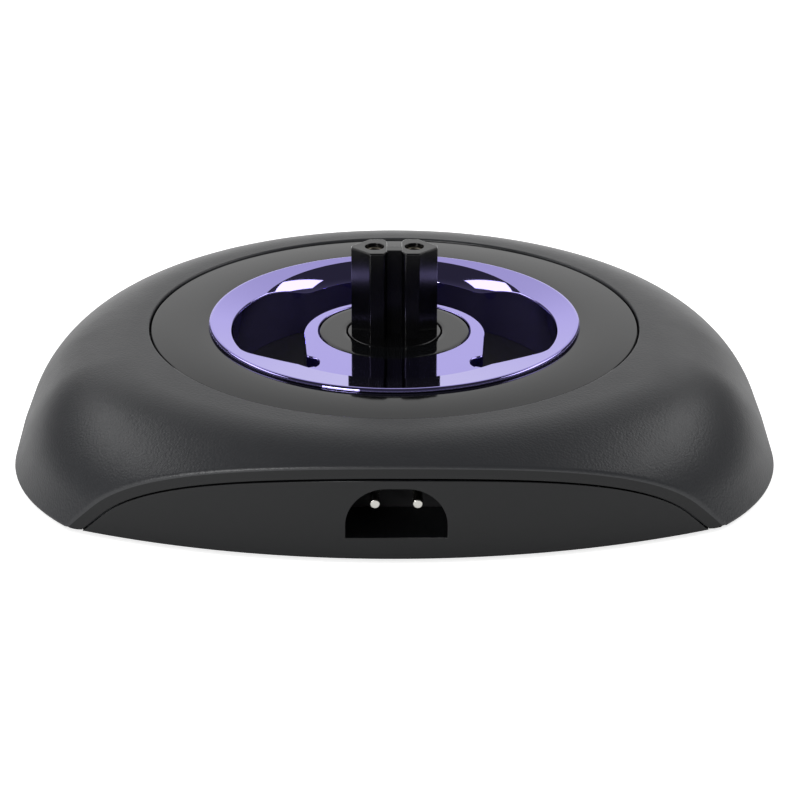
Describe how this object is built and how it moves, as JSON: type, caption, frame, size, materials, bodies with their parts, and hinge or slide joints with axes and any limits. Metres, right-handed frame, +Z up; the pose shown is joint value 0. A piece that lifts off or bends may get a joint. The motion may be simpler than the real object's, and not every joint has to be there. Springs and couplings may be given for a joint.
{
  "type": "shaver charging stand",
  "caption": "Low domed charging stand for an electric shaver, with a plated seat ring, a raised socket post and a D-shaped power inlet in its front face.",
  "frame": {"origin": "middle of the stand's outline on the surface that its feet stand on", "axes": "+Z up; -Y towards the inlet face, which is the front; +X to the right as seen from that face"},
  "size_m": [0.12, 0.111, 0.0312],
  "materials": {
    "textured_abs": "spark-textured moulded ABS, dark grey",
    "gloss_abs": "polished moulded ABS, black",
    "violet_plate": "lavender vacuum-plated ABS, satin",
    "post_black": "polished moulded nylon, black",
    "contact_brass": "rolled brass sleeve",
    "inner_black": "moulded PBT, black",
    "housing_black": "smooth moulded ABS, near black",
    "pin_nickel": "nickel-plated brass pin",
    "lead_red": "PVC insulation, red",
    "lead_black": "PVC insulation, black",
    "shrink_black": "heat-shrink tube, black",
    "screw_steel": "zinc-plated self-tapping screw",
    "foot_rubber": "moulded rubber foot, dark grey"
  },
  "bodies": {
    "root": {"top_cover": "textured_abs", "deck_ring": "gloss_abs", "bezel": "violet_plate", "post_plate": "gloss_abs", "connector_post": "post_black", "contact_left": "contact_brass", "contact_right": "contact_brass", "contact_holder": "inner_black", "carrier": "inner_black", "base_housing": "housing_black", "inlet_block": "inner_black", "inlet_pin_left": "pin_nickel", "inlet_pin_right": "pin_nickel", "lead_left": "lead_red", "lead_right": "lead_black", "heat_shrinks": "shrink_black", "base_screws": "screw_steel", "carrier_screws": "screw_steel", "foot_front_left": "foot_rubber", "foot_front_right": "foot_rubber", "foot_back_left": "foot_rubber", "foot_back_right": "foot_rubber"}
  },
  "joints": []
}
